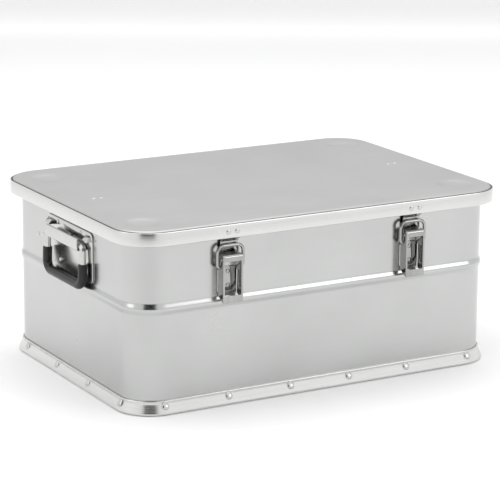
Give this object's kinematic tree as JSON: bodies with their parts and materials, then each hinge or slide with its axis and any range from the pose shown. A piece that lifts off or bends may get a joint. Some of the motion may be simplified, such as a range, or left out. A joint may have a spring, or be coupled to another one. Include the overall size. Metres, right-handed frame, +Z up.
{
  "type": "transport box",
  "caption": "Low rectangular sheet-metal transport box with a hinged flanged lid, toggle latches and drop handles.",
  "frame": {"origin": "middle of the rectangle that the base frame stands on", "axes": "+X along the long side, -Y out of the side with the latches, +Z up"},
  "size_m": [0.6024, 0.4286, 0.256],
  "materials": {
    "case_sheet": "satin rolled sheet",
    "lid_sheet": "matt rolled sheet",
    "frame_profile": "satin extruded profile",
    "rivet": "bright dome head",
    "hardware": "polished stainless steel",
    "gasket": "matt extruded rubber",
    "grip": "satin moulded plastic",
    "webbing": "woven strap"
  },
  "bodies": {
    "case": {"base_frame": "frame_profile", "base_rivet_front_1": "rivet", "base_rivet_front_2": "rivet", "base_rivet_front_3": "rivet", "base_rivet_front_4": "rivet", "base_rivet_front_5": "rivet", "base_rivet_front_6": "rivet", "base_rivet_left_1": "rivet", "base_rivet_left_2": "rivet", "base_rivet_left_3": "rivet", "base_rivet_left_4": "rivet", "base_rivet_rear_1": "rivet", "base_rivet_rear_2": "rivet", "base_rivet_rear_3": "rivet", "base_rivet_rear_4": "rivet", "base_rivet_rear_5": "rivet", "base_rivet_rear_6": "rivet", "base_rivet_right_1": "rivet", "base_rivet_right_2": "rivet", "base_rivet_right_3": "rivet", "base_rivet_right_4": "rivet", "body_rim": "frame_profile", "body_shell": "case_sheet", "floor_pan": "case_sheet", "handle_hood_left": "hardware", "handle_hood_right": "hardware", "handle_plate_left": "hardware", "handle_plate_right": "hardware", "hinge_body_leaf_left": "hardware", "hinge_body_leaf_right": "hardware", "hinge_pin_left": "hardware", "hinge_pin_right": "hardware", "latch_base_left": "hardware", "latch_base_right": "hardware", "latch_pin_left": "hardware", "latch_pin_right": "hardware"},
    "lid": {"hinge_lid_leaf_left": "hardware", "hinge_lid_leaf_right": "hardware", "latch_catch_left": "hardware", "latch_catch_right": "hardware", "lid_gasket": "gasket", "lid_panel": "lid_sheet", "lid_rim": "frame_profile", "lid_strap_left": "webbing", "lid_strap_right": "webbing"},
    "handle_left": {"handle_bail_left": "hardware", "handle_grip_left": "grip"},
    "latch_lever_left": {"latch_lever_left": "hardware"},
    "latch_loop_left": {"latch_loop_left": "hardware"},
    "handle_right": {"handle_bail_right": "hardware", "handle_grip_right": "grip"},
    "latch_lever_right": {"latch_lever_right": "hardware"},
    "latch_loop_right": {"latch_loop_right": "hardware"}
  },
  "joints": [
    {"name": "lid_hinge", "type": "hinge", "parent": "case", "child": "lid", "pos_m": [0, 0.2109, 0.23], "axis": [-1, 0, 0], "range_deg": [0, 95], "deforming": ["lid_strap_left", "lid_strap_right"]},
    {"name": "latch_lever_left_pivot", "type": "hinge", "parent": "case", "child": "latch_lever_left", "pos_m": [-0.147, -0.208, 0.206], "axis": [-1, 0, 0], "range_deg": [0, 115]},
    {"name": "latch_loop_left_pivot", "type": "hinge", "parent": "latch_lever_left", "child": "latch_loop_left", "pos_m": [-0.147, -0.2057, 0.195], "axis": [-1, 0, 0], "range_deg": [-138, 0]},
    {"name": "latch_lever_right_pivot", "type": "hinge", "parent": "case", "child": "latch_lever_right", "pos_m": [0.143, -0.208, 0.206], "axis": [-1, 0, 0], "range_deg": [0, 115]},
    {"name": "latch_loop_right_pivot", "type": "hinge", "parent": "latch_lever_right", "child": "latch_loop_right", "pos_m": [0.143, -0.2057, 0.195], "axis": [-1, 0, 0], "range_deg": [-138, 0]},
    {"name": "handle_left_swing", "type": "hinge", "parent": "case", "child": "handle_left", "pos_m": [-0.293, 0, 0.205], "axis": [0, 1, 0], "range_deg": [0, 90]},
    {"name": "handle_right_swing", "type": "hinge", "parent": "case", "child": "handle_right", "pos_m": [0.293, 0, 0.205], "axis": [0, -1, 0], "range_deg": [0, 90]}
  ],
  "couplings": [
    {"joint": "latch_loop_left_pivot", "follows": "latch_lever_left_pivot", "ratio": -1.2},
    {"joint": "latch_loop_right_pivot", "follows": "latch_lever_right_pivot", "ratio": -1.2}
  ]
}
